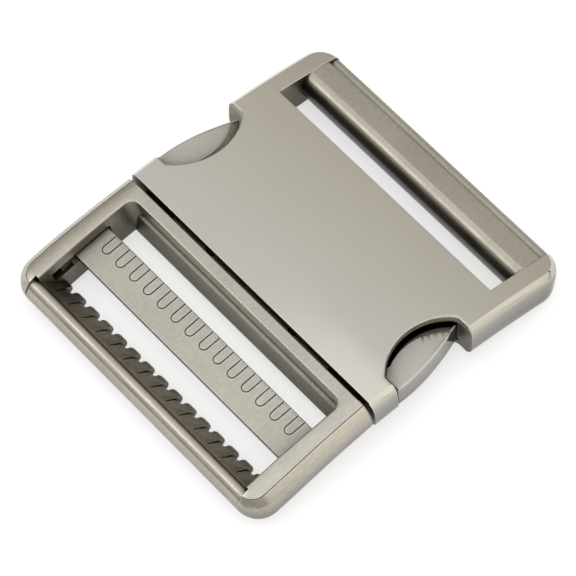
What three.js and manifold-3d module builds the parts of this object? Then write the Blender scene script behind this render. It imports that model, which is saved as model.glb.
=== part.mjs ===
// Curved metal side-release buckle with an adjuster slider, for 50 mm webbing.
// Millimetres: +X across the width, +Y from the adjuster half to the sewn half, +Z up.
//
// Each piece is first made straight in coordinates (x, s, h): x across, s along the length
// from the crown of the arch and h above the underside. archPiece() then wraps the piece
// round an arch whose axis runs along X, so a wall that is square to the length stays flat.

import * as THREE from "three";
import { mergeVertices } from "three/addons/utils/BufferGeometryUtils.js";
import Module from "manifold-3d";

const wasm = await Module();
wasm.setup();

// ---- driving dimensions -------------------------------------------------------------
const ARCH_RADIUS = 148.5; // underside of the buckle, to the arch axis
const STATION = 6; // length of the flat stretches that follow the arch
const THICKNESS = 6.9;
const END = 31.9; // both ends, from the crown
const WEBBING_HALF = 25.5; // half of the opening for 50 mm webbing
const FAR = 60; // reach of a cutter that runs right out of a piece
const GAP = 0.3; // running gap between neighbours

// housing half
const HOUSING_FLAT = 28.5; // half width of the flat top
const HOUSING_BULGE = 1.1; // how far its sides stand out past the flat
const HOUSING_CORNER = 3.0;
const THINNING_START = 24; // the underside rises from here to the far end
const THINNING_RISE = 1.3;
const MOUTH = -7.1;
const ROOM_HALF = 26.0; // the room that takes the tongue
const ROOM_END = 16.6;
const ROOM_FLOOR = 0.9;
const ROOM_CEILING = 5.7;
const WINDOW_START = -2.45;
const WINDOW_END = 12.45;
const WINDOW_ARC = { x: 32.4, s: 5.3, r: 9.55 };
const WINDOW_CORNER = 2.2;
const SLOT_START = 19.5;
const BAR_START = 24.05;

// adjuster half
const FRAME_FLAT_AT_NECK = 28.2;
const FRAME_FLAT_WIDEST = 28.65;
const FRAME_WIDEST_AT = -24;
const FRAME_BULGE = 1.6;
const FRAME_CORNER = 3.2;
const SHOULDER = -8.1;
const COLLAR_END = -7.6; // recessed band that shows in the line between the halves
const COLLAR_HALF = 28.6;
const COLLAR_BOTTOM = 1.2;
const COLLAR_TOP = 4.9;
const OPENING_HALF_TOP = 25.6;
const OPENING_HALF_BOTTOM = 24.4;
const OPENING_CORNER = 1.8;
const NECK_EDGE = -9.9;
const NECK_LEDGE = 3.2; // height of the ledge on the neck's inner wall
const TOOTH_PITCH = 3.44;
const TOOTH_COUNT = 15;
const TOOTH_WIDTH = 2.15;
const TRACK_HALF = 27.3; // grooves that hold the ends of the slider bar
const TRACK_START = -26.9;
const TRACK_END = -15.05;
const TRACK_BOTTOM = 3.15;
const TRACK_TOP = 5.1;

// tongue, from the floor up: floor, channel for the buttons, cover plate
const TONGUE_FLOOR = 1.2;
const CHANNEL_FLOOR = 1.95;
const CHANNEL_TOP = 4.65;
const COVER_BOTTOM = 4.8;
const COVER_TOP = 5.4;
const ROOT_HALF = 25.7;
const ROOT_END = -5.2;
const TONGUE_HALF = 19.6;
const CHANNEL_START = -3.9;
const CHANNEL_END = 12.6;
const TONGUE_TIP = 15.6;
const RIB_HALF = 2.0;
const POST_INNER = 17.6; // posts that stop the buttons
const OUTLET_START = -1.9;
const OUTLET_END = 10.6;
const RIVETS = [[-10, -6], [10, -6], [-10, 14.1], [10, 14.1]];

// side buttons
const PAD_BOTTOM = 1.2;
const PAD_TOP = 5.45;
const PAD_SHOULDER = -2.15;
const PAD_NEAR_X = 25.2;
const PAD_TIP = 11.85;
const PAD_ARC = 9.0; // radius of the inner edge, round the same centre as the window arc
const CHAMFER_START = 4.75; // height at which the inner edge starts to lean back
const CHAMFER_LEAN = [0.7, -1.15]; // how far it has leant at the top (x, s)
const BODY_BOTTOM = 2.25;
const BODY_TOP = 4.4;
const HEAD_INNER = 10.0;
const SPRING_AT = 4.35;
const SPRING_HEIGHT = 3.3;
const SPRING_RADIUS = 0.8; // to the middle of the wire
const SPRING_WIRE = 0.2;
const SPRING_TURNS = 9;
const SPRING_POCKET = 2.0;

// slider bar
const SLIDER_START = -22.1;
const SLIDER_END = -15.35;
const SLIDER_BOTTOM = 3.45;
const SLIDER_TOP = 4.8;
const SLIDER_HALF = 26.8;
const GRIP_COUNT = 14;
const GRIP_HALF = 0.8;
const GRIP_LENGTH = 3.4;
const GRIP_LINE = 0.24;
const GRIP_DEPTH = 0.2;

// ---- solids -------------------------------------------------------------------------
function toSolid(geometry) {
  geometry.deleteAttribute("normal");
  geometry.deleteAttribute("uv");
  const merged = mergeVertices(geometry, 1e-4);
  return new wasm.Manifold(new wasm.Mesh({
    numProp: 3,
    vertProperties: Float32Array.from(merged.attributes.position.array),
    triVerts: Uint32Array.from(merged.index.array),
  }));
}

const join = (...solids) => solids.reduce((whole, solid) => whole.add(solid));
const cut = (solid, ...cutters) => cutters.reduce((rest, cutter) => rest.subtract(cutter), solid);

function block(x0, x1, s0, s1, h0, h1) {
  const box = new THREE.BoxGeometry(x1 - x0, s1 - s0, h1 - h0);
  return toSolid(box.translate((x0 + x1) / 2, (s0 + s1) / 2, (h0 + h1) / 2));
}

// A plan outline (x, s) between two heights.
function prism(shape, h0, h1, curveSegments = 6) {
  const options = { depth: h1 - h0, bevelEnabled: false, curveSegments };
  return toSolid(new THREE.ExtrudeGeometry(shape, options).translate(0, 0, h0));
}

// A plan outline whose sides swell outwards by bulge at mid height.
function swelled(shape, bulge, flank) {
  const geometry = new THREE.ExtrudeGeometry(shape, {
    depth: THICKNESS - 2 * flank,
    bevelThickness: flank,
    bevelSize: bulge,
    bevelSegments: 4,
    curveSegments: 4,
  });
  return toSolid(geometry.translate(0, 0, flank));
}

// A section (s, h) carried across the width.
function across(shape, x0, x1, curveSegments = 4) {
  const options = { depth: x1 - x0, bevelEnabled: false, curveSegments };
  const turn = new THREE.Matrix4().makeBasis(
    new THREE.Vector3(0, 1, 0), new THREE.Vector3(0, 0, 1), new THREE.Vector3(1, 0, 0));
  return toSolid(new THREE.ExtrudeGeometry(shape, options).applyMatrix4(turn).translate(x0, 0, 0));
}

function upright(x, s, h0, h1, radius, sides = 14) {
  const cylinder = new THREE.CylinderGeometry(radius, radius, h1 - h0, sides);
  return toSolid(cylinder.rotateX(Math.PI / 2).translate(x, s, (h0 + h1) / 2));
}

function crosswise(x0, x1, s, h, radius) {
  const cylinder = new THREE.CylinderGeometry(radius, radius, x1 - x0, 14);
  return toSolid(cylinder.rotateZ(Math.PI / 2).translate((x0 + x1) / 2, s, h));
}

function polygon(...points) {
  return new THREE.Shape(points.map(([a, b]) => new THREE.Vector2(a, b)));
}

function roundedRectangle(x0, x1, s0, s1, radius) {
  const shape = new THREE.Shape();
  shape.moveTo(x0 + radius, s0);
  shape.lineTo(x1 - radius, s0);
  shape.absarc(x1 - radius, s0 + radius, radius, -Math.PI / 2, 0);
  shape.lineTo(x1, s1 - radius);
  shape.absarc(x1 - radius, s1 - radius, radius, 0, Math.PI / 2);
  shape.lineTo(x0 + radius, s1);
  shape.absarc(x0 + radius, s1 - radius, radius, Math.PI / 2, Math.PI);
  shape.lineTo(x0, s0 + radius);
  shape.absarc(x0 + radius, s0 + radius, radius, Math.PI, Math.PI * 1.5);
  return shape;
}

// A copy of a solid with every point moved; a mirror image also has its faces turned over.
function reshaped(solid, move, mirror = false) {
  const { numProp, vertProperties, triVerts } = solid.getMesh();
  const positions = [];
  for (let index = 0; index < vertProperties.length; index += numProp) {
    positions.push(...move(...vertProperties.slice(index, index + 3)));
  }
  const geometry = new THREE.BufferGeometry();
  geometry.setAttribute("position", new THREE.Float32BufferAttribute(positions, 3));
  geometry.setIndex(Array.from(mirror ? triVerts.toReversed() : triVerts));
  return toSolid(geometry);
}

const mirrored = (solid) => reshaped(solid, (x, s, h) => [-x, s, h], true);

// ---- arch ---------------------------------------------------------------------------
// Splits a polygon where it crosses the station, so both sides share the new points.
function splitAtStation(polygonPoints, station) {
  const near = [];
  const far = [];
  polygonPoints.forEach((point, index) => {
    const next = polygonPoints[(index + 1) % polygonPoints.length];
    if (point.y <= station) near.push(point);
    if (point.y >= station) far.push(point);
    if ((point.y - station) * (next.y - station) < 0) {
      const [low, high] = point.y < next.y ? [point, next] : [next, point];
      const crossing = low.clone().lerp(high, (station - low.y) / (high.y - low.y));
      crossing.y = station;
      near.push(crossing);
      far.push(crossing);
    }
  });
  return [near, far];
}

function splitByStations(triangle) {
  const lengths = triangle.map((point) => point.y);
  const first = Math.ceil(Math.min(...lengths) / STATION);
  const last = Math.floor(Math.max(...lengths) / STATION);
  let rest = triangle;
  const parts = [];
  for (let index = first; index <= last; index += 1) {
    const station = index * STATION;
    const [near, far] = splitAtStation(rest, station);
    parts.push(near);
    rest = far;
  }
  parts.push(rest);
  return parts.filter((part) => part.length > 2);
}

function bend(point) {
  const angle = point.y / ARCH_RADIUS;
  const reach = ARCH_RADIUS + point.z;
  return new THREE.Vector3(point.x, reach * Math.sin(angle), reach * Math.cos(angle) - ARCH_RADIUS);
}

function archPiece(name, solid, finish) {
  const { numProp, vertProperties, triVerts } = solid.getMesh();
  const corner = (index) => new THREE.Vector3().fromArray(vertProperties, triVerts[index] * numProp);
  const positions = [];
  for (let index = 0; index < triVerts.length; index += 3) {
    for (const part of splitByStations([corner(index), corner(index + 1), corner(index + 2)])) {
      const bent = part.map(bend);
      for (let k = 2; k < bent.length; k += 1) {
        positions.push(...bent[0].toArray(), ...bent[k - 1].toArray(), ...bent[k].toArray());
      }
    }
  }
  const geometry = new THREE.BufferGeometry();
  geometry.setAttribute("position", new THREE.Float32BufferAttribute(positions, 3));
  const mesh = new THREE.Mesh(mergeVertices(geometry, 1e-5), new THREE.MeshStandardMaterial(finish));
  mesh.name = name;
  return mesh;
}

// ---- housing half -------------------------------------------------------------------
function windowOutline() {
  const { x, s, r } = WINDOW_ARC;
  const start = Math.PI + Math.asin((s - WINDOW_START) / r);
  const cornerS = WINDOW_END - WINDOW_CORNER;
  const cornerX = x - Math.sqrt((r - WINDOW_CORNER) ** 2 - (cornerS - s) ** 2);
  const turn = Math.atan2(cornerS - s, cornerX - x);
  const shape = new THREE.Shape();
  shape.moveTo(FAR, WINDOW_START);
  shape.lineTo(FAR, WINDOW_END);
  shape.absarc(cornerX, cornerS, WINDOW_CORNER, Math.PI / 2, turn);
  shape.absarc(x, s, r, turn, start);
  return shape;
}

// Rounded bar that the webbing is sewn round, with the lip that runs behind it.
function webbingBar() {
  const shape = new THREE.Shape();
  shape.moveTo(BAR_START + 1.7, 1.3);
  shape.lineTo(31.0, 0.9);
  shape.quadraticCurveTo(END, 1.0, END, 2.6);
  shape.lineTo(END, 4.3);
  shape.quadraticCurveTo(31.85, 5.8, 31.2, 6.3);
  shape.lineTo(30.5, 6.4);
  shape.lineTo(29.95, 6.05);
  shape.lineTo(29.55, 6.75);
  shape.lineTo(BAR_START + 2.05, 6.85);
  shape.quadraticCurveTo(BAR_START + 0.1, 6.6, BAR_START, 4.2);
  shape.quadraticCurveTo(BAR_START, 1.7, BAR_START + 1.7, 1.3);
  return across(shape, -WEBBING_HALF - 1, WEBBING_HALF + 1);
}

function housing() {
  const outline = roundedRectangle(
    -HOUSING_FLAT, HOUSING_FLAT, MOUTH - 8, END - HOUSING_BULGE, HOUSING_CORNER);
  const shell = swelled(outline, HOUSING_BULGE, 2.6);
  const window = prism(windowOutline(), -1, THICKNESS + 1, 12);
  const thinning = polygon(
    [THINNING_START, 0], [THINNING_START, -1], [END + 1, -1], [END + 1, THINNING_RISE]);
  const body = cut(
    shell,
    across(thinning, -FAR, FAR),
    block(-FAR, FAR, -FAR, MOUTH, -FAR, FAR),
    block(-ROOM_HALF, ROOM_HALF, MOUTH - 1, ROOM_END, ROOM_FLOOR, ROOM_CEILING),
    block(-FAR, FAR, WINDOW_START, WINDOW_END, ROOM_FLOOR, ROOM_CEILING),
    window,
    mirrored(window),
    block(-WEBBING_HALF, WEBBING_HALF, SLOT_START, FAR, -1, FAR));
  return join(body, webbingBar());
}

// ---- adjuster half ------------------------------------------------------------------
function frameOutline() {
  const nearEnd = -END + FRAME_BULGE;
  const shape = new THREE.Shape();
  shape.moveTo(FRAME_FLAT_AT_NECK, 0);
  shape.lineTo(-FRAME_FLAT_AT_NECK, 0);
  shape.lineTo(-FRAME_FLAT_AT_NECK, SHOULDER);
  shape.lineTo(-FRAME_FLAT_WIDEST, FRAME_WIDEST_AT);
  shape.lineTo(-FRAME_FLAT_WIDEST, nearEnd + FRAME_CORNER);
  shape.absarc(-FRAME_FLAT_WIDEST + FRAME_CORNER, nearEnd + FRAME_CORNER, FRAME_CORNER,
    Math.PI, Math.PI * 1.5);
  shape.absarc(FRAME_FLAT_WIDEST - FRAME_CORNER, nearEnd + FRAME_CORNER, FRAME_CORNER,
    Math.PI * 1.5, Math.PI * 2);
  shape.lineTo(FRAME_FLAT_WIDEST, FRAME_WIDEST_AT);
  shape.lineTo(FRAME_FLAT_AT_NECK, SHOULDER);
  return shape;
}

// The opening narrows towards the underside. Its near wall slopes up behind the teeth and
// fills the gaps between them to just short of their tips.
function adjusterOpening() {
  const section = polygon(
    [-29.1, 9], [-29.1, 6.1], [-26.6, 2.75], [-26.35, 1.9], [-26.2, -1], [-11.75, -1],
    [-10.4, NECK_LEDGE], [NECK_EDGE, NECK_LEDGE + 0.15], [NECK_EDGE, 9]);
  const plan = roundedRectangle(
    -OPENING_HALF_TOP, OPENING_HALF_TOP, -END - 4, NECK_EDGE, OPENING_CORNER);
  const straight = across(section, -FAR, FAR).intersect(prism(plan, -2, 10, 4));
  const taper = (OPENING_HALF_TOP - OPENING_HALF_BOTTOM) / THICKNESS;
  const halfAt = (h) => OPENING_HALF_BOTTOM + taper * h;
  return reshaped(straight, (x, s, h) => [(x * halfAt(h)) / OPENING_HALF_TOP, s, h]);
}

function tooth(index) {
  const middle = (index - (TOOTH_COUNT - 1) / 2) * TOOTH_PITCH;
  const shape = new THREE.Shape();
  shape.moveTo(-29.5, 5.2);
  shape.lineTo(-29.0, 6.1);
  shape.lineTo(-26.0, 2.4);
  shape.quadraticCurveTo(-25.4, 1.8, -25.4, 1.1);
  shape.lineTo(-26.5, 0.7);
  shape.lineTo(-29.5, 2.4);
  return across(shape, middle - TOOTH_WIDTH / 2, middle + TOOTH_WIDTH / 2);
}

function tongue() {
  const root = block(-ROOT_HALF, ROOT_HALF, COLLAR_END - 1, ROOT_END, TONGUE_FLOOR, CHANNEL_TOP);
  const slab = prism(
    roundedRectangle(-TONGUE_HALF, TONGUE_HALF, COLLAR_END - 1, TONGUE_TIP, 1.0),
    TONGUE_FLOOR, CHANNEL_TOP, 3);
  const side = join(
    block(RIB_HALF, POST_INNER, CHANNEL_START, CHANNEL_END, CHANNEL_FLOOR, FAR),
    block(POST_INNER - 1, FAR, OUTLET_START, OUTLET_END, CHANNEL_FLOOR, FAR));
  const holes = RIVETS.map(([x, s]) => upright(x, s, 2.2, FAR, 1.0));
  return cut(join(root, slab), side, mirrored(side), ...holes);
}

function adjusterFrame() {
  const shell = cut(
    swelled(frameOutline(), FRAME_BULGE, 3.1),
    block(-FAR, FAR, SHOULDER, FAR, -FAR, FAR),
    block(-26.2, 26.2, -FAR, -29.3, 6.25, FAR),
    adjusterOpening(),
    block(-TRACK_HALF, TRACK_HALF, TRACK_START, TRACK_END, TRACK_BOTTOM, TRACK_TOP));
  const teeth = Array.from({ length: TOOTH_COUNT }, (_, index) => tooth(index));
  const collar = block(
    -COLLAR_HALF, COLLAR_HALF, SHOULDER - 0.5, COLLAR_END, COLLAR_BOTTOM, COLLAR_TOP);
  return join(shell, ...teeth, collar, tongue());
}

function tongueCover() {
  const plate = prism(
    roundedRectangle(-TONGUE_HALF + 0.3, TONGUE_HALF - 0.3, COLLAR_END + 0.2, TONGUE_TIP - 0.3, 1.0),
    COVER_BOTTOM, COVER_TOP, 3);
  return cut(plate, ...RIVETS.map(([x, s]) => upright(x, s, 0, FAR, 1.55)));
}

function coverRivet([x, s]) {
  return join(
    upright(x, s, 2.5, COVER_TOP - 0.1, 0.7),
    upright(x, s, COVER_BOTTOM + 0.05, COVER_TOP - 0.05, 1.25));
}

// ---- side buttons -------------------------------------------------------------------
// The pad is a crescent: its outer edge leads in towards the tip, its inner edge follows the
// window, and its square near end is the shoulder that catches behind the housing's side.
function padOutline() {
  const { x, s } = WINDOW_ARC;
  const tip = Math.PI - Math.asin((PAD_TIP - s) / PAD_ARC);
  const near = Math.PI + Math.acos((x - PAD_NEAR_X) / PAD_ARC);
  const shape = new THREE.Shape();
  shape.moveTo(PAD_NEAR_X, PAD_SHOULDER);
  shape.lineTo(29.3, PAD_SHOULDER);
  shape.quadraticCurveTo(29.5, 3.6, 26.9, 10.6);
  shape.lineTo(26.45, PAD_TIP);
  shape.absarc(x, s, PAD_ARC, tip, near);
  return shape;
}

// What is taken off the top of the pad's inner edge, widest at the tip and gone near the
// shoulder.
function padChamfer() {
  const { x, s } = WINDOW_ARC;
  const [leanX, leanS] = CHAMFER_LEAN;
  const round = upright(x, s, CHAMFER_START, PAD_TOP, PAD_ARC + 0.05, 72);
  const leaning = reshaped(round, (px, ps, ph) => (
    ph > CHAMFER_START + 0.1 ? [px + leanX, ps + leanS, ph] : [px, ps, ph]));
  return cut(block(20, 28, 0, PAD_TIP + 1, CHAMFER_START, PAD_TOP), leaning);
}

function button() {
  const inner = HEAD_INNER;
  const pad = cut(prism(padOutline(), PAD_BOTTOM, PAD_TOP, 8), padChamfer());
  const stem = block(inner + 3, 25.6, OUTLET_START + GAP, OUTLET_END - GAP, BODY_BOTTOM, BODY_TOP);
  const head = block(
    inner, POST_INNER - GAP, CHANNEL_START + GAP, CHANNEL_END - GAP, BODY_BOTTOM, BODY_TOP);
  const clearOfPad = cut(stem, prism(stemRelief(), 0, FAR, 8));
  const pocket = crosswise(inner - 1, inner + SPRING_POCKET, SPRING_AT, SPRING_HEIGHT, 1.06);
  return cut(join(pad, clearOfPad, head), pocket);
}

// The stem ends inside the pad, so nothing of it shows past the pad's outer edge.
function stemRelief() {
  const shape = new THREE.Shape();
  shape.moveTo(26.2, OUTLET_END + 1);
  shape.quadraticCurveTo(24.6, 3.7, 27.5, PAD_SHOULDER - 1);
  shape.lineTo(FAR, PAD_SHOULDER - 1);
  shape.lineTo(FAR, OUTLET_END + 1);
  return shape;
}

class Coil extends THREE.Curve {
  constructor(start, length) {
    super();
    this.start = start;
    this.length = length;
  }

  getPoint(t, target = new THREE.Vector3()) {
    const turn = t * SPRING_TURNS * 2 * Math.PI;
    return target.set(
      this.start + t * this.length,
      SPRING_AT + SPRING_RADIUS * Math.cos(turn),
      SPRING_HEIGHT + SPRING_RADIUS * Math.sin(turn));
  }
}

function spring() {
  const wire = new THREE.Shape();
  wire.absarc(0, 0, SPRING_WIRE, 0, Math.PI * 2);
  const start = RIB_HALF + SPRING_WIRE + 0.1;
  const end = HEAD_INNER + SPRING_POCKET - SPRING_WIRE - 0.1;
  return toSolid(new THREE.ExtrudeGeometry(wire, {
    steps: SPRING_TURNS * 10,
    curveSegments: 3,
    extrudePath: new Coil(start, end - start),
  }));
}

// ---- slider bar ---------------------------------------------------------------------
// A line pressed into the top round each finger-shaped grip, open at the far edge.
function gripLine(index) {
  const middle = (index - (GRIP_COUNT - 1) / 2) * TOOTH_PITCH;
  const outer = GRIP_HALF + GRIP_LINE / 2;
  const inner = GRIP_HALF - GRIP_LINE / 2;
  const round = SLIDER_END - GRIP_LENGTH + GRIP_HALF;
  const shape = new THREE.Shape();
  shape.moveTo(middle - outer, SLIDER_END + 1);
  shape.absarc(middle, round, outer, Math.PI, Math.PI * 2);
  shape.lineTo(middle + outer, SLIDER_END + 1);
  shape.lineTo(middle + inner, SLIDER_END + 1);
  shape.absarc(middle, round, inner, Math.PI * 2, Math.PI, true);
  shape.lineTo(middle - inner, SLIDER_END + 1);
  return prism(shape, SLIDER_TOP - GRIP_DEPTH, FAR, 4);
}

function sliderBar() {
  const plate = block(
    -SLIDER_HALF, SLIDER_HALF, SLIDER_START, SLIDER_END, SLIDER_BOTTOM, SLIDER_TOP);
  const grips = Array.from({ length: GRIP_COUNT }, (_, index) => gripLine(index));
  return cut(plate, ...grips);
}

// ---- assembly -----------------------------------------------------------------------
const polished = { color: 0xc9c5be, metalness: 1, roughness: 0.18 };
const satin = { color: 0xbdb8af, metalness: 1, roughness: 0.38 };
const steel = { color: 0xa8a8a6, metalness: 1, roughness: 0.3 };

const group = new THREE.Group();
group.add(archPiece("female_body", housing(), polished));
group.add(archPiece("male_frame", adjusterFrame(), satin));
group.add(archPiece("tongue_cover", tongueCover(), steel));
RIVETS.forEach((place, index) => {
  group.add(archPiece(`cover_rivet_${index + 1}`, coverRivet(place), steel));
});
group.add(archPiece("slider_bar", sliderBar(), satin));
group.add(archPiece("right_button", button(), satin));
group.add(archPiece("left_button", mirrored(button()), satin));
group.add(archPiece("right_spring", spring(), steel));
group.add(archPiece("left_spring", mirrored(spring()), steel));

// The origin is under the middle of the buckle, on the surface it stands on.
const extent = new THREE.Box3().setFromObject(group);
const middle = extent.getCenter(new THREE.Vector3());
group.position.set(-middle.x, -middle.y, -extent.min.z);

export default group;
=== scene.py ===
import math

import bmesh
import bpy
from mathutils import Matrix, Vector


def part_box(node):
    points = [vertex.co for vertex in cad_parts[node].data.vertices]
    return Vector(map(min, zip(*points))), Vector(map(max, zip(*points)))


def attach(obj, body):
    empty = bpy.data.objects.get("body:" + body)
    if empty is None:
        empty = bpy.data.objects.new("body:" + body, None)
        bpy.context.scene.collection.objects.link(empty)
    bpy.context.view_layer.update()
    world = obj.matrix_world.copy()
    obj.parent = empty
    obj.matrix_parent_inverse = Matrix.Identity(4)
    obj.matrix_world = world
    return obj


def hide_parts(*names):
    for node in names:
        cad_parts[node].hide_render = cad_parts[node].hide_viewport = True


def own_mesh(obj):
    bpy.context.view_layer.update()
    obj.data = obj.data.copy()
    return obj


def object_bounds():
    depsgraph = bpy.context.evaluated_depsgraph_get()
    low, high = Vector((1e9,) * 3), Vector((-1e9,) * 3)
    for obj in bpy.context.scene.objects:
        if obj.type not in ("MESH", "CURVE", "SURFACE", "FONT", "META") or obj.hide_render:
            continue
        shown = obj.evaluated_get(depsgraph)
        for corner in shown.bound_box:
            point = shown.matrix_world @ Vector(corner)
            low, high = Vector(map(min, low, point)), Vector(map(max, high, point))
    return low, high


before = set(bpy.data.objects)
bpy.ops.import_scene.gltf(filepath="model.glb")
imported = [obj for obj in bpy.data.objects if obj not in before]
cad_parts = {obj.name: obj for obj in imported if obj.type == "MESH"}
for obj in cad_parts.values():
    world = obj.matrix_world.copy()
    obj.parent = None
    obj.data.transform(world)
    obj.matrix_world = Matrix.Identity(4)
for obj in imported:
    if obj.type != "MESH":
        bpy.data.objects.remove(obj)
CAD_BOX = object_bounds()

MM = 0.001

# ---- the arch that every piece is wrapped round (millimetres) ---------------------------
ARCH_RADIUS = 148.5
THICKNESS = 6.9
END = 31.9
SLIDER_NEAR_END = -22.1
SLIDER_TOP = 4.8
STRIP = 1.0  # length of the strips that follow the arch

# Where the crown's underside sits in the row frame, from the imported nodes.
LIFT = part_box("female_body")[1].z / MM - THICKNESS
ALONG = (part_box("slider_bar")[0].y / MM
         + (ARCH_RADIUS + SLIDER_TOP) * math.sin(-SLIDER_NEAR_END / ARCH_RADIUS))


def bent(x, s, h):
    """A straight-frame point (x across, s along, h up) on the arch, in metres.

    The point is then held inside the CAD's box, so the size test can't show an overshoot. At the
    time of writing this moves 8 points at the housing's back corners, by at most 0.009 mm."""
    angle = s / ARCH_RADIUS
    reach = ARCH_RADIUS + h
    wrapped_point = Vector((x, reach * math.sin(angle) + ALONG,
                            reach * math.cos(angle) - ARCH_RADIUS + LIFT)) * MM
    low, high = CAD_BOX
    return Vector(min(max(wrapped_point[k], low[k]), high[k]) for k in range(3))


# ---- outlines ---------------------------------------------------------------------------
def arc(cx, cy, radius, start, end, steps):
    """Points of an arc, angles in degrees."""
    turns = [math.radians(start + (end - start) * i / steps) for i in range(steps + 1)]
    return [(cx + radius * math.cos(t), cy + radius * math.sin(t)) for t in turns]


def curve(a, control, b, steps):
    """Points of a quadratic curve after its first point."""
    points = []
    for i in range(1, steps + 1):
        t = i / steps
        points.append(tuple((1 - t) ** 2 * a[k] + 2 * t * (1 - t) * control[k] + t * t * b[k]
                            for k in (0, 1)))
    return points


def rounded(x0, x1, s0, s1, radius, steps=8):
    return (arc(x1 - radius, s0 + radius, radius, -90, 0, steps)
            + arc(x1 - radius, s1 - radius, radius, 0, 90, steps)
            + arc(x0 + radius, s1 - radius, radius, 90, 180, steps)
            + arc(x0 + radius, s0 + radius, radius, 180, 270, steps))


def offset(outline, distance):
    """The outline moved outwards by distance, for an anticlockwise outline."""
    moved = []
    count = len(outline)
    for i in range(count):
        before, here, after = (Vector(outline[(i + k) % count]) for k in (-1, 0, 1))
        a, b = (here - before).normalized(), (after - here).normalized()
        na, nb = Vector((a.y, -a.x)), Vector((b.y, -b.x))
        out = (na + nb).normalized()
        moved.append(tuple(here + out * (distance / max(out.dot(na), 0.3))))
    return moved


# ---- meshes in the straight frame -------------------------------------------------------
FAR = 60  # reach of a cutter that runs right out of a piece
EDGE_STEPS = 4  # facets round a rounded edge
EDGE_FLARE = 1.6  # how far a cutter opens above the top, in edge radii
SHARP_ANGLE = 34  # degrees above which an edge is shaded sharp


def mesh_object(name, bm):
    bmesh.ops.recalc_face_normals(bm, faces=bm.faces)
    mesh = bpy.data.meshes.new(name)
    bm.to_mesh(mesh)
    bm.free()
    made = bpy.data.objects.new(name, mesh)
    bpy.context.scene.collection.objects.link(made)
    return made


def loft(name, rings):
    """A closed solid through rings of the same number of points."""
    bm = bmesh.new()
    rows = [[bm.verts.new(p) for p in ring] for ring in rings]
    count = len(rings[0])
    for low, high in zip(rows, rows[1:]):
        for i in range(count):
            k = (i + 1) % count
            bm.faces.new((low[i], low[k], high[k], high[i]))
    bm.faces.new(rows[0][::-1])
    bm.faces.new(rows[-1])
    return mesh_object(name, bm)


def prism(name, outline, h0, h1):
    return loft(name, [[(x, s, h) for x, s in outline] for h in (h0, h1)])


def across(name, section, x0, x1):
    return loft(name, [[(x, s, h) for s, h in section] for x in (x0, x1)])


def block(name, x0, x1, s0, s1, h0, h1):
    return prism(name, [(x0, s0), (x1, s0), (x1, s1), (x0, s1)], h0, h1)


def flared(name, outline, bottom, edge):
    """A cutter that leaves a rounded edge of the given radius round a hole in the top."""
    turns = [math.pi / 2 * i / EDGE_STEPS for i in range(EDGE_STEPS + 1)]
    rings = [(outline, bottom)]
    rings += [(offset(outline, edge * (1 - math.cos(turn))), THICKNESS - edge * (1 - math.sin(turn)))
              for turn in turns]
    rings.append((offset(outline, edge * EDGE_FLARE), THICKNESS + edge))
    return loft(name, [[(x, s, h) for x, s in ring] for ring, h in rings])


def end_cut(name, station, edge, towards):
    """A cutter that ends a piece at a station and leaves its top edge rounded."""
    turns = [math.pi / 2 * i / EDGE_STEPS for i in range(EDGE_STEPS + 1)]
    section = [(station, -FAR)]
    section += [(station - towards * edge * (1 - math.cos(turn)),
                 THICKNESS - edge * (1 - math.sin(turn))) for turn in turns]
    section += [(station - towards * edge * EDGE_FLARE, THICKNESS + edge),
                (station + towards * FAR, THICKNESS + edge), (station + towards * FAR, -FAR)]
    return across(name, section, -FAR, FAR)


def swelled(name, outline, profile):
    """A plan outline whose sides follow the profile down from the top and up from below."""
    rings = [(offset(outline, out), down) for out, down in profile]
    rings += [(ring, THICKNESS - down) for ring, down in reversed(rings)]
    return loft(name, [[(x, s, h) for x, s in ring] for ring, h in rings])


def combine(target, operation, *others):
    """Adds or cuts other solids, which are used up."""
    for other in others:
        step = target.modifiers.new("combine", "BOOLEAN")
        step.operation = operation
        step.solver = "EXACT"
        step.object = other
        bake(target)
        bpy.data.objects.remove(other)
    return target


def gathered(name, pieces):
    """One object from pieces that don't touch."""
    bm = bmesh.new()
    for piece in pieces:
        bm.from_mesh(piece.data)
        bpy.data.objects.remove(piece)
    return mesh_object(name, bm)


def bake(target):
    """Applies every modifier of a piece."""
    graph = bpy.context.evaluated_depsgraph_get()
    graph.update()
    mesh = bpy.data.meshes.new_from_object(target.evaluated_get(graph))
    target.modifiers.clear()
    target.data = mesh
    return target


def eased(target, width):
    """Rounds every edge sharper than 40 degrees."""
    clean(target)
    step = target.modifiers.new("ease", "BEVEL")
    step.width = width
    step.segments = 3
    step.limit_method = "ANGLE"
    step.angle_limit = math.radians(40)
    step.use_clamp_overlap = True
    step.miter_outer = "MITER_ARC"
    return bake(target)


def triangulated(target):
    bm = bmesh.new()
    bm.from_mesh(target.data)
    bmesh.ops.triangulate(bm, faces=bm.faces)
    bm.to_mesh(target.data)
    bm.free()
    return target


def clean(target):
    bm = bmesh.new()
    bm.from_mesh(target.data)
    bmesh.ops.remove_doubles(bm, verts=bm.verts, dist=0.002)
    bmesh.ops.dissolve_limit(bm, angle_limit=math.radians(0.2), verts=bm.verts, edges=bm.edges)
    bm.to_mesh(target.data)
    bm.free()


def mirrored(target, name):
    copy = target.copy()
    copy.data = target.data.copy()
    copy.name = name
    bpy.context.scene.collection.objects.link(copy)
    copy.data.transform(Matrix.Scale(-1, 4, (1, 0, 0)))
    copy.data.flip_normals()
    return copy


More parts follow.
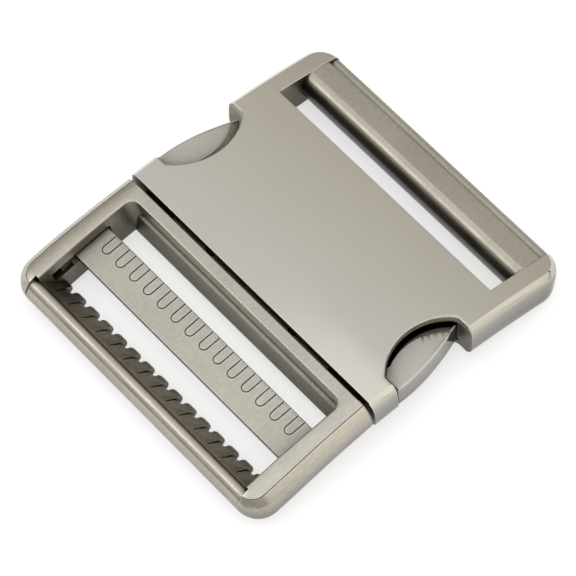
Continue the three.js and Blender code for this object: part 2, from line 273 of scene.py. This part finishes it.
def wrapped(target, paint=None):
    """Cuts a piece into strips, wraps it round the arch and smooths its shading.

    paint gives the material number of a face from its middle and its normal."""
    bm = bmesh.new()
    bm.from_mesh(target.data)
    bmesh.ops.triangulate(bm, faces=[f for f in bm.faces if len(f.verts) > 4])
    lengths = [v.co.y for v in bm.verts]
    for i in range(math.ceil(min(lengths) / STRIP), math.floor(max(lengths) / STRIP) + 1):
        everything = bm.verts[:] + bm.edges[:] + bm.faces[:]
        bmesh.ops.bisect_plane(bm, geom=everything, dist=1e-5,
                               plane_co=(0, i * STRIP, 0), plane_no=(0, 1, 0))
    bm.normal_update()
    for f in bm.faces:
        f.smooth = True
        f.material_index = paint(f.calc_center_median(), f.normal) if paint else 0
    for v in bm.verts:
        v.co = bent(*v.co)
    bm.to_mesh(target.data)
    bm.free()
    for e in target.data.edges:
        e.use_edge_sharp = False
    target.data.set_sharp_from_angle(angle=math.radians(SHARP_ANGLE))
    weigh = target.modifiers.new("normals", "WEIGHTED_NORMAL")
    weigh.keep_sharp = True
    weigh.weight = 60
    return target


# ---- housing half -----------------------------------------------------------------------
WEBBING_HALF = 25.5
HOUSING_FLAT = 28.5
HOUSING_BULGE = 1.1
HOUSING_CORNER = 3.0
MOUTH = -7.1
WINDOW_START = -2.45
WINDOW_END = 12.45
WINDOW_X, WINDOW_S, WINDOW_R = 32.4, 5.3, 9.55
WINDOW_CORNER = 2.2
ROOM_FLOOR, ROOM_CEILING = 0.9, 5.7
ROOM_HALF, ROOM_END = 26, 16.6
SOFT_EDGE = 0.2  # radius of the polished edges
SLOT_START = 19.5
BAR_START = 24.05


def window_outline():
    start = 180 + math.degrees(math.asin((WINDOW_S - WINDOW_START) / WINDOW_R))
    rise = WINDOW_END - WINDOW_CORNER - WINDOW_S
    corner_x = WINDOW_X - math.sqrt((WINDOW_R - WINDOW_CORNER) ** 2 - rise ** 2)
    turn = math.degrees(math.atan2(rise, corner_x - WINDOW_X))
    return ([(FAR, WINDOW_START), (FAR, WINDOW_END)]
            + arc(corner_x, WINDOW_END - WINDOW_CORNER, WINDOW_CORNER, 90, turn, 6)[:-1]
            + arc(WINDOW_X, WINDOW_S, WINDOW_R, turn, start, 36))


def bar_section():
    points = [(BAR_START + 1.7, 1.3), (31.0, 0.9)]
    points += curve((31.0, 0.9), (END, 1.0), (END, 2.6), 7) + [(END, 4.3)]
    points += curve((END, 4.3), (31.85, 5.8), (31.2, 6.3), 7)
    points += [(30.5, 6.4), (29.95, 6.05), (29.6, 6.6), (29.4, 6.74), (BAR_START + 2.05, 6.85)]
    points += curve((BAR_START + 2.05, 6.85), (BAR_START + 0.5, 6.45), (BAR_START, 4.2), 12)
    points += curve((BAR_START, 4.2), (BAR_START, 1.7), (BAR_START + 1.7, 1.3), 8)[:-1]
    return points


# A facet along the top edge, then a side that stands out a little more below it.
HOUSING_SIDE = [(0, 0), (0.78, 0.76), (0.93, 1.15), (1.02, 1.61), (1.08, 2.1), (HOUSING_BULGE, 2.6)]


def housing_paint(middle, normal):
    """0 polished outside, 1 inner walls, 2 bar, 3 cut edges of the windows."""
    if middle.y > BAR_START - 0.1 and abs(middle.x) < WEBBING_HALF:
        return 2
    side = abs(middle.x) > 26.5 and normal.x * middle.x > 0 and abs(normal.x) > 0.25
    back = middle.y > END - 3.5 and normal.y > 0.2
    if side or back or (middle.z > ROOM_CEILING and normal.z > 0.15):
        return 0
    window_wall = WINDOW_START - 0.2 < middle.y < WINDOW_END + 0.2
    return 3 if window_wall and middle.z > ROOM_CEILING - 0.1 else 1


def housing():
    outline = rounded(-HOUSING_FLAT, HOUSING_FLAT, MOUTH - 8, END - HOUSING_BULGE, HOUSING_CORNER)
    body = swelled("housing_shell", outline, HOUSING_SIDE)
    window = flared("window", window_outline(), -1, SOFT_EDGE)
    slot = flared("slot", [(-WEBBING_HALF, SLOT_START), (WEBBING_HALF, SLOT_START),
                           (WEBBING_HALF, FAR), (-WEBBING_HALF, FAR)], -1, 0.16)
    combine(body, "DIFFERENCE",
            across("thin", [(24, 0), (24, -1), (END + 1, -1), (END + 1, 1.3)], -FAR, FAR),
            end_cut("mouth", MOUTH, SOFT_EDGE, -1),
            mirrored(window, "window_l"), window, slot,
            block("room", -ROOM_HALF, ROOM_HALF, MOUTH - 1, ROOM_END, ROOM_FLOOR, ROOM_CEILING),
            block("way", -FAR, FAR, WINDOW_START, WINDOW_END, ROOM_FLOOR, ROOM_CEILING))
    combine(body, "UNION", across("bar", bar_section(), -WEBBING_HALF - 0.6, WEBBING_HALF + 0.6))
    return wrapped(body, housing_paint)


# ---- adjuster half ----------------------------------------------------------------------
SHOULDER = -7.8
TOOTH_PITCH = 3.44
TOOTH_COUNT = 15
TOOTH_WIDTH = 2.15
OPENING_TOP, OPENING_BOTTOM = 25.6, 24.4


# A gently rounded top, then a facet and a side.
FRAME_SIDE = [(-1.9, 0), (-1.2, 0.05), (-0.5, 0.17), (0, 0.32), (1.08, 1.3), (1.35, 1.9),
              (1.5, 2.5), (1.6, 3.1)]


def frame_outline():
    near, widest, corner = -END + 1.6, 28.65, 2.6
    return ([(28.2, 0), (-28.2, 0), (-28.2, SHOULDER), (-widest, -24)]
            + arc(-widest + corner, near + corner, corner, 180, 270, 8)
            + arc(widest - corner, near + corner, corner, 270, 360, 8)
            + [(widest, -24), (28.2, SHOULDER)])


def opening():
    section = [(-29.1, 9), (-29.1, 6.1), (-26.6, 2.75), (-26.35, 1.9), (-26.2, -1), (-11.75, -1),
               (-10.4, 3.2), (-9.9, 3.35), (-9.9, 6.6), (-9.81, 6.81), (-9.6, 6.91), (-9.6, 9)]
    cutter = across("opening", section, -FAR, FAR)
    plan = flared("plan", rounded(-OPENING_TOP, OPENING_TOP, -END - 4, -9.9, 1.8), -2, 0.3)
    combine(cutter, "INTERSECT", plan)
    for v in cutter.data.vertices:
        half = OPENING_BOTTOM + (OPENING_TOP - OPENING_BOTTOM) / THICKNESS * v.co.z
        v.co.x *= half / OPENING_TOP
    return cutter


# The slope that the teeth lie on, from its top to its foot (s, h), and the way into the metal.
SLOPE_TOP = Vector((-28.75, 5.55))
SLOPE_FOOT = Vector((-26.0, 2.4))
INWARDS = Vector((SLOPE_FOOT.y - SLOPE_TOP.y, SLOPE_TOP.x - SLOPE_FOOT.x)).normalized()
TOOTH_TIP = -25.4


def tooth_start(index):
    return (index - TOOTH_COUNT / 2) * TOOTH_PITCH + (TOOTH_PITCH - TOOTH_WIDTH) / 2


def tooth(index):
    """A plate with a rounded tip that rises a little from its left side to its right side."""
    left = tooth_start(index)
    rings = []
    for x, sink in ((left, 0.18), (left + TOOTH_WIDTH, 0)):
        foot = SLOPE_FOOT + INWARDS * sink
        section = [(-29.5, 5.2), tuple(SLOPE_TOP), tuple(foot)]
        section += curve(foot, (TOOTH_TIP, 1.8), (TOOTH_TIP, 1.1), 5) + [(-26.5, 0.7), (-29.5, 2.4)]
        rings.append([(x, s, h) for s, h in section])
    body = triangulated(loft(f"tooth_{index}", rings))
    plan = rounded(left, left + TOOTH_WIDTH, -31, TOOTH_TIP, 0.55, 5)
    return triangulated(combine(body, "INTERSECT", prism("tip", plan, 0, THICKNESS)))


def seam(index):
    """The thin line cut along the right side of a tooth."""
    start, end = SLOPE_TOP.lerp(SLOPE_FOOT, 0.2), SLOPE_TOP.lerp(SLOPE_FOOT, 0.86)
    section = [start - INWARDS * 0.6, start + INWARDS * 0.22,
               end + INWARDS * 0.5, end - INWARDS * 0.6]
    side = tooth_start(index) + TOOTH_WIDTH
    return across(f"seam_{index}", [tuple(p) for p in section], side - 0.02, side + 0.17)


TONGUE_START, TONGUE_END, TONGUE_HALF = -8.6, 15.6, 19.6
TONGUE_BOTTOM, TONGUE_TOP = 1.2, 4.65
CHANNEL_FLOOR = 1.95
RIB_HALF, CHANNEL_HALF, GATE_HALF = 2.0, 17.6, 16.6


def tongue():
    body = block("root", -25.7, 25.7, TONGUE_START, -5.2, TONGUE_BOTTOM, TONGUE_TOP)
    slab = rounded(-TONGUE_HALF, TONGUE_HALF, TONGUE_START, TONGUE_END, 1.0, 4)
    combine(body, "UNION", prism("slab", slab, TONGUE_BOTTOM, TONGUE_TOP))
    for side in (-1, 1):
        inner, outer = sorted((side * RIB_HALF, side * CHANNEL_HALF))
        gate_in, gate_out = sorted((side * GATE_HALF, side * FAR))
        combine(body, "DIFFERENCE",
                block("channel", inner, outer, -3.9, 12.6, CHANNEL_FLOOR, FAR),
                block("outlet", gate_in, gate_out, -1.9, 10.6, CHANNEL_FLOOR, FAR))
    return body


def edge_line():
    """The fine line cut round the top of the rails, where the facet starts."""
    line = prism("line", offset(frame_outline(), 0.03), THICKNESS - 0.42, THICKNESS + 1)
    return combine(line, "DIFFERENCE",
                   prism("inner", offset(frame_outline(), -0.12), THICKNESS - 1, THICKNESS + 2))


def frame_paint(middle, normal):
    """0 outside, 1 inner walls, 2 the slope with the teeth, and the tongue, in a darker copy of the
    cast finish as painted shade, 3 the grooves.
    """
    if middle.y > -8.2:
        return 2
    if middle.z < 0.05:
        return 1
    inside = abs(middle.x) < 27.4 and -29.15 < middle.y < -9.85 and middle.z < 6.5
    if inside and middle.y < -25.3 and abs(normal.x) < 0.95:
        return 2
    if inside and abs(middle.x) > 25.45 and 3 < middle.z < 5.2:
        return 3
    return 1 if inside and normal.z < 0.6 else 0


def adjuster_frame():
    body = swelled("adjuster_shell", frame_outline(), FRAME_SIDE)
    ridge = [(-33, 9), (-33, 3.9), (-31.78, 4.4), (-31.4, 5.2), (-30.9, 5.8), (-30.3, 6.15),
             (-29.75, 6.22), (-29.3, 6.05), (-28.95, 5.7), (-28.6, 9)]
    combine(body, "DIFFERENCE",
            end_cut("back", SHOULDER, SOFT_EDGE, 1),
            across("ridge", ridge, -26.2, 26.2),
            opening(),
            block("track", -27.3, 27.3, -26.9, -15.05, 3.15, 5.1))
    combine(body, "UNION", block("collar", -28.6, 28.6, SHOULDER - 0.5, -7.6, 1.2, 4.9), tongue())
    combine(body, "UNION", gathered("teeth", [tooth(i) for i in range(TOOTH_COUNT)]))
    combine(body, "DIFFERENCE", edge_line(), gathered("seams", [seam(i) for i in range(TOOTH_COUNT)]))
    return wrapped(body, frame_paint)


# ---- slider bar and buttons -------------------------------------------------------------
SLIDER_FAR_END, SLIDER_HALF, SLIDER_BOTTOM = -15.35, 26.8, 3.45
GRIP_COUNT = 14
GRIP_LENGTH, GRIP_HALF = 3.4, 0.8
GRIP_OUTER, GRIP_INNER = 0.92, 0.68  # the two sides of a pressed line


def grip_line(index):
    middle = (index - (GRIP_COUNT - 1) / 2) * TOOTH_PITCH
    round_at, far = SLIDER_FAR_END - GRIP_LENGTH + GRIP_HALF, -14.35
    outline = [(middle - GRIP_OUTER, far)] + arc(middle, round_at, GRIP_OUTER, 180, 360, 12)
    outline += [(middle + GRIP_OUTER, far), (middle + GRIP_INNER, far)]
    outline += arc(middle, round_at, GRIP_INNER, 360, 180, 12) + [(middle - GRIP_INNER, far)]
    return prism(f"grip_{index}", outline, SLIDER_TOP - 0.2, FAR)


def slider():
    bar = block("slider", -SLIDER_HALF, SLIDER_HALF, SLIDER_NEAR_END, SLIDER_FAR_END,
                SLIDER_BOTTOM, SLIDER_TOP)
    body = eased(bar, 0.18)
    combine(body, "DIFFERENCE", *[grip_line(i) for i in range(GRIP_COUNT)])
    # Faces that don't face up take the second material, a darker copy of the cast finish, as painted
    # shade.
    return wrapped(body, lambda middle, normal: 0 if normal.z > 0.25 else 1)


PAD_ARC = 9.0
PAD_TIP = 11.85
PAD_TOP = 5.45
LEAN_FROM = 4.75
LEAN = (0.7, -1.15)
STEM_BOTTOM, STEM_TOP = 2.25, 4.4
SPRING_AT, SPRING_HEIGHT = 4.35, 3.3
POCKET_RADIUS = 1.06


def pad():
    """A crescent whose inner edge leans back towards the top."""
    outer = [(25.2, -2.15), (29.3, -2.15)]
    outer += curve((29.3, -2.15), (29.5, 3.6), (26.9, 10.6), 20) + [(26.45, PAD_TIP)]
    tip = 180 - math.degrees(math.asin((PAD_TIP - WINDOW_S) / PAD_ARC))
    near = 180 + math.degrees(math.acos((WINDOW_X - 25.2) / PAD_ARC))
    inner = arc(WINDOW_X, WINDOW_S, PAD_ARC, tip, near, 36)

    def outer_at(s):
        for (x0, s0), (x1, s1) in zip(outer[1:], outer[2:]):
            if s <= s1:
                return x0 + (x1 - x0) * (s - s0) / (s1 - s0)
        return outer[-1][0]

    def leant(x, s, share):
        reach = PAD_ARC ** 2 - (s - WINDOW_S - share * LEAN[1]) ** 2
        back = WINDOW_X + share * LEAN[0] - math.sqrt(max(reach, 0))
        return min(max(x, back), max(x, outer_at(s) - 0.07)), s

    def inset_edge(edge, distance):
        lead = [edge[0], *edge, edge[-1]]
        for before, here, after in zip(lead, lead[1:], lead[2:]):
            way = (Vector(after) - Vector(before)).normalized()
            yield here[0] - way.y * distance, here[1] + way.x * distance

    rings = []
    for h, share, inset in ((1.2, 0, 0.2), (1.4, 0, 0), (LEAN_FROM, 0, 0), (5.16, 0.6, 0),
                            (5.3, 0.8, 0.07), (5.41, 0.94, 0.18), (PAD_TOP, 1, 0.32)):
        plan = list(inset_edge(outer, inset)) + [leant(x, s, share) for x, s in inner]
        rings.append([(x, s, h) for x, s in plan])
    return loft("button_r", rings)


def button():
    body = pad()
    relief = [(26.2, 11.6)] + curve((26.2, 11.6), (24.6, 3.7), (27.5, -3.15), 12)
    relief += [(FAR, -3.15), (FAR, 11.6)]
    stem = block("stem", 13, 25.6, -1.6, 10.3, STEM_BOTTOM, STEM_TOP)
    combine(stem, "DIFFERENCE", prism("relief", relief, 0, FAR))
    combine(body, "UNION", stem, block("head", 10, 17.3, -3.6, 12.3, STEM_BOTTOM, STEM_TOP))
    turns = [t * math.pi / 12 for t in range(24)]
    hole = [(SPRING_AT + POCKET_RADIUS * math.cos(turn),
             SPRING_HEIGHT + POCKET_RADIUS * math.sin(turn)) for turn in turns]
    return combine(body, "DIFFERENCE", across("pocket", hole, 9, 12))


def button_paint(middle, normal):
    """0 the pad's top and outer side, 1 what stays inside, 2 the leaning inner edge."""
    outer_side = abs(middle.x) > 26.3 and abs(normal.x) > 0.5 and normal.x * middle.x > 0
    if outer_side or (normal.z > 0.2 and abs(middle.x) > 28) or normal.z > 0.97:
        return 0
    return 2 if middle.z > LEAN_FROM and normal.z > 0.1 else 1


# ---- springs ----------------------------------------------------------------------------
COIL_START, COIL_END = 2.31, 11.69
COIL_RADIUS, WIRE = 0.8, 0.18
COIL_TURNS, COIL_STEPS = 9, 24


def spring():
    """A helix of wire along x."""
    rings = []
    pitch = (COIL_END - COIL_START) / COIL_TURNS
    for step in range(COIL_TURNS * COIL_STEPS + 1):
        turn = step / COIL_STEPS * 2 * math.pi
        out = Vector((0, math.cos(turn), math.sin(turn)))
        along = Vector((pitch / (2 * math.pi), -out.z * COIL_RADIUS, out.y * COIL_RADIUS))
        lift = along.normalized().cross(out)
        middle = Vector((COIL_START + pitch * step / COIL_STEPS, SPRING_AT, SPRING_HEIGHT))
        middle += out * COIL_RADIUS
        rings.append([tuple(middle + (out * math.cos(a) + lift * math.sin(a)) * WIRE)
                      for a in (math.tau * i / 10 for i in range(10))])
    return loft("coil_r", rings)


# ---- materials --------------------------------------------------------------------------
def metal(name, colour, rough, *, spread=0.05, mottle=0.04, speckle=0.0, grain=0.3,
          grain_size=2200, scratch=0.0, streak=1.0, painted_shade_limit=0.1, shade_power=1.6, edge_wear_and_highlight=0.35):
    """Plated metal: mottled tone, uneven roughness, grain, scratches, painted shade in hollows and
    near other surfaces, worn edges lightened partly as a painted highlight.
    """
    made = bpy.data.materials.new(name)
    made.use_nodes = True
    nodes, links = made.node_tree.nodes, made.node_tree.links
    shader = nodes["Principled BSDF"]
    shader.inputs["Metallic"].default_value = 1.0

    def node(kind, inputs=(), **values):
        fresh = nodes.new(kind)
        for key, value in values.items():
            setattr(fresh, key, value)
        for key, value in inputs:
            if isinstance(value, bpy.types.NodeSocket):
                links.new(value, fresh.inputs[key])
            else:
                fresh.inputs[key].default_value = value
        return fresh

    def ranged(source, low, high, start=0.3, end=0.7):
        fresh = node("ShaderNodeMapRange", (("Value", source), ("From Min", start),
                                            ("From Max", end), ("To Min", low), ("To Max", high)))
        return fresh.outputs["Result"]

    def times(a, b, operation="MULTIPLY"):
        fresh = node("ShaderNodeMath", operation=operation)
        for slot, value in enumerate((a, b)):
            if isinstance(value, bpy.types.NodeSocket):
                links.new(value, fresh.inputs[slot])
            else:
                fresh.inputs[slot].default_value = value
        return fresh.outputs["Value"]

    place = node("ShaderNodeTexCoord").outputs["Object"]
    stretch = node("ShaderNodeMapping", (("Vector", place), ("Scale", (1, streak, 1))))

    def noise(scale, detail, vector=place):
        fresh = node("ShaderNodeTexNoise", (("Vector", vector), ("Scale", scale), ("Detail", detail)))
        return fresh.outputs["Fac"]

    cloud = noise(90, 4)
    fine = noise(grain_size, 4, stretch.outputs["Vector"])
    # Painted shade: the base colour is darkened by ambient occlusion within 20 mm (in hollows,
    # between parts and along the floor), raised to a power and kept above a set lowest factor.
    shade_occlusion = node("ShaderNodeAmbientOcclusion", (("Distance", 0.02),), samples=6)
    painted_shade_factor = times(times(shade_occlusion.outputs["AO"], shade_power, "POWER"), painted_shade_limit, "MAXIMUM")
    # Worn edges and painted highlight: convex edges found by inside ambient occlusion get a lighter
    # colour and lower roughness, at a random strength.
    corner = node("ShaderNodeAmbientOcclusion", (("Distance", 0.0005),), samples=4, inside=True)
    worn_edge_highlight = times(ranged(corner.outputs["AO"], edge_wear_and_highlight, 0.0, 0.5, 0.8), ranged(noise(700, 3), 0.4, 1.2))

    tone = times(ranged(cloud, 1 - mottle, 1 + mottle), ranged(fine, 1 - speckle, 1 + speckle))
    lit = times(times(tone, painted_shade_factor), times(worn_edge_highlight, 1.0, "ADD"))
    scaled = node("ShaderNodeVectorMath", ((0, colour),), operation="SCALE")
    links.new(lit, scaled.inputs["Scale"])
    links.new(scaled.outputs["Vector"], shader.inputs["Base Color"])
    uneven = ranged(noise(260, 6), rough - spread, rough + spread)
    links.new(times(uneven, times(worn_edge_highlight, 0.2), "SUBTRACT"), shader.inputs["Roughness"])

    bump = node("ShaderNodeBump", (("Strength", grain), ("Distance", 0.00003), ("Height", fine)))
    if scratch:
        marks = node("ShaderNodeTexVoronoi", (("Vector", stretch.outputs["Vector"]), ("Scale", 140)),
                     feature="DISTANCE_TO_EDGE")
        line = ranged(marks.outputs["Distance"], 0.0, 1.0, 0.0, 0.02)
        bump = node("ShaderNodeBump", (("Strength", scratch), ("Distance", 0.00002),
                                       ("Height", line), ("Normal", bump.outputs["Normal"])))
    links.new(bump.outputs["Normal"], shader.inputs["Normal"])
    return made


polished = metal("polished_nickel", (0.59, 0.57, 0.52), 0.12, spread=0.02, mottle=0.008,
                 grain=0.015, grain_size=1500, painted_shade_limit=0.15, shade_power=2.4, edge_wear_and_highlight=0.2)
blanked = metal("blanked_nickel", (0.55, 0.51, 0.44), 0.6, speckle=0.14, grain=0.6, painted_shade_limit=0.7)
satin = metal("satin_nickel", (0.54, 0.51, 0.455), 0.34, speckle=0.07, grain=0.5,
              grain_size=2600, scratch=0.08, streak=0.35, painted_shade_limit=0.22)
cast = metal("cast_nickel", (0.47, 0.43, 0.36), 0.4, speckle=0.1, grain=0.55, painted_shade_limit=0.2,
             shade_power=1.3)
# A darker copy of the cast finish, painted shade: it goes on the teeth slope, the tongue under the
# housing and the slider's sides and underside.
shaded_cast = metal("shaded_cast_nickel", (0.3, 0.26, 0.2), 0.42, mottle=0.12, speckle=0.2,
                  grain=0.7, painted_shade_limit=0.08, shade_power=1.2, edge_wear_and_highlight=0.7)
steel = metal("spring_steel", (0.55, 0.55, 0.54), 0.26, grain=0.12, grain_size=1800, streak=0.2,
              painted_shade_limit=0.03)


def finish(piece, materials, node, body):
    piece.name = piece.data.name = f"{node}_metal"
    painted = [face.material_index for face in piece.data.polygons]
    piece.data.materials.clear()
    for material in materials:
        piece.data.materials.append(material)
    piece.data.polygons.foreach_set("material_index", painted)
    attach(piece, body)
    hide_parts(node)


# ---- the pieces -------------------------------------------------------------------------
finish(housing(), (polished, cast, satin, blanked), "female_body", "female")
finish(adjuster_frame(), (satin, cast, shaded_cast, blanked), "male_frame", "male")
finish(slider(), (satin, shaded_cast), "slider_bar", "slider")
right = button()
left = mirrored(right, "button_l")
for piece, name in ((right, "right_button"), (left, "left_button")):
    finish(wrapped(piece, button_paint), (polished, cast, blanked), name, name)

right_coil = spring()
left_coil = mirrored(right_coil, "coil_l")
for piece, name, way in ((right_coil, "right", 1), (left_coil, "left", -1)):
    finish(wrapped(piece), (steel,), f"{name}_spring", "male")
    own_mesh(piece)

for name in ("tongue_cover", "cover_rivet_1", "cover_rivet_2", "cover_rivet_3", "cover_rivet_4"):
    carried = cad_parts[name]
    carried.data.materials.clear()
    carried.data.materials.append(steel)

# ---- camera -----------------------------------------------------------------------------
AZIMUTH, ELEVATION, ROLL = (math.radians(a) for a in (-56.338, 58.295, -7.835))
TARGET = Vector((0.763, -0.785 + ALONG, LIFT)) * MM
DISTANCE = 742.586 * MM
back = Vector((-math.sin(AZIMUTH) * math.cos(ELEVATION),
               -math.cos(AZIMUTH) * math.cos(ELEVATION), math.sin(ELEVATION)))
level = (-back).cross(Vector((0, 0, 1))).normalized()
upward = level.cross(-back)
side = level * math.cos(ROLL) + upward * math.sin(ROLL)
top = -level * math.sin(ROLL) + upward * math.cos(ROLL)
camera = bpy.data.objects.new("camera", bpy.data.cameras.new("camera"))
bpy.context.scene.collection.objects.link(camera)
camera.matrix_world = Matrix((
    (side.x, top.x, back.x, TARGET.x + back.x * DISTANCE),
    (side.y, top.y, back.y, TARGET.y + back.y * DISTANCE),
    (side.z, top.z, back.z, TARGET.z + back.z * DISTANCE),
    (0, 0, 0, 1)))
camera.data.lens = 293.4
camera.data.sensor_width = 36
camera.data.clip_start, camera.data.clip_end = 0.05, 10
bpy.context.scene.camera = camera

# ---- floor and light --------------------------------------------------------------------
bpy.ops.mesh.primitive_plane_add(size=3, location=(0, 0, 0))
floor = bpy.context.object
floor.name = "floor"
pale = bpy.data.materials.new("pale_floor")
pale.use_nodes = True
for key, value in (("Base Color", (0.62, 0.62, 0.62, 1)), ("Roughness", 0.9),
                   ("Emission Color", (1, 1, 1, 1)), ("Emission Strength", 0.62)):
    pale.node_tree.nodes["Principled BSDF"].inputs[key].default_value = value
floor.data.materials.append(pale)

world = bpy.data.worlds.new("studio")
world.use_nodes = True
sky = world.node_tree.nodes
links = world.node_tree.links
direction = sky.new("ShaderNodeTexCoord")
height = sky.new("ShaderNodeSeparateXYZ")
tone = sky.new("ShaderNodeValToRGB")
tone.color_ramp.elements[0].position = 0.0
tone.color_ramp.elements[0].color = (0.2, 0.185, 0.155, 1)
tone.color_ramp.elements[1].position = 0.81
tone.color_ramp.elements[1].color = (0.88, 0.88, 0.88, 1)
tone.color_ramp.elements.new(0.5).color = (0.5, 0.475, 0.41, 1)
tone.color_ramp.elements.new(0.7).color = (0.73, 0.71, 0.65, 1)
links.new(direction.outputs["Generated"], height.inputs["Vector"])
leant = sky.new("ShaderNodeMath")  # the left side is a little darker than the right
leant.operation = "MULTIPLY_ADD"
leant.inputs[1].default_value = 0.15
links.new(height.outputs["X"], leant.inputs[0])
links.new(height.outputs["Z"], leant.inputs[2])
links.new(leant.outputs["Value"], tone.inputs["Fac"])
links.new(tone.outputs["Color"], sky["Background"].inputs["Color"])
backdrop = sky.new("ShaderNodeBackground")  # what is seen past the floor, pale
backdrop.inputs["Color"].default_value = (0.9, 0.9, 0.9, 1)
seen = sky.new("ShaderNodeMixShader")
links.new(sky.new("ShaderNodeLightPath").outputs["Is Camera Ray"], seen.inputs[0])
links.new(sky["Background"].outputs[0], seen.inputs[1])
links.new(backdrop.outputs[0], seen.inputs[2])
links.new(seen.outputs[0], sky["World Output"].inputs["Surface"])
bpy.context.scene.world = world


def softbox(name, place, size, radiance, colour=(1, 1, 1)):
    """A rectangular light of an even brightness, aimed at the object."""
    lamp = bpy.data.lights.new(name, "AREA")
    lamp.shape = "RECTANGLE"
    lamp.size, lamp.size_y = size
    lamp.energy = math.pi * size[0] * size[1] * radiance
    lamp.color = colour
    made = bpy.data.objects.new(name, lamp)
    made.location = place
    made.rotation_mode = "QUATERNION"
    made.rotation_quaternion = (-Vector(place)).to_track_quat("-Z", "Y")
    bpy.context.scene.collection.objects.link(made)


CREAM = (1, 0.965, 0.89)
softbox("overhead", (0, -0.075, 0.62), (0.6, 0.55), 0.28)
softbox("right", (0.6, 0.3, 0.27), (0.8, 0.5), 0.7, CREAM)
softbox("front", (-0.42, -0.52, 0.62), (0.45, 0.3), 1.8, CREAM)
softbox("behind", (-0.1, 0.8, 0.3), (0.7, 0.25), 0.3)

bpy.context.scene.view_settings.view_transform = "Standard"
